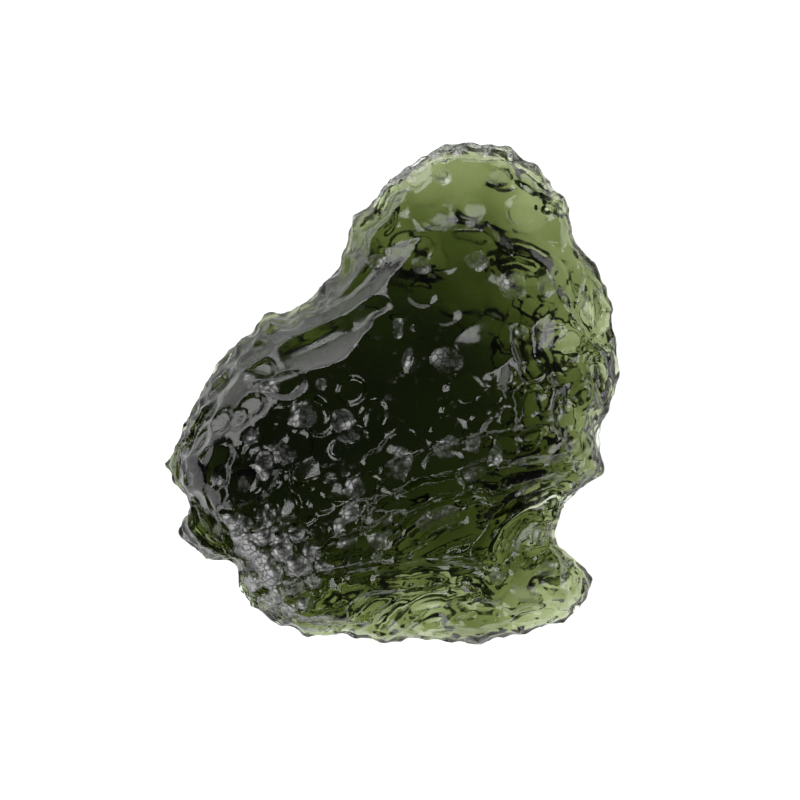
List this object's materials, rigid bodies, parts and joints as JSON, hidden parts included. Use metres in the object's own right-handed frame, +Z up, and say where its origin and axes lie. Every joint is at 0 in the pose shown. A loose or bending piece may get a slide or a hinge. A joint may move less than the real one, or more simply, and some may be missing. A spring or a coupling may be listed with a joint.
{
  "type": "moldavite",
  "caption": "Irregular flat lump of deep green natural glass, etched all over with pits, flow grooves and smooth hollows, with a narrower upper lobe and a foot below a deep notch.",
  "frame": {"origin": "on the table the stone lies on, under the middle of its bounding box", "axes": "+Z up, the stone's thickness; +Y towards the narrow upper lobe, its length; +X to the right of the picture, its width"},
  "size_m": [0.0272, 0.03, 0.0106],
  "materials": {
    "green_glass": "glossy in the hollows, satin on the rim and the pitted parts; nearly black where thick and olive green where thin"
  },
  "bodies": {
    "root": {"moldavite": "green_glass"}
  },
  "joints": []
}
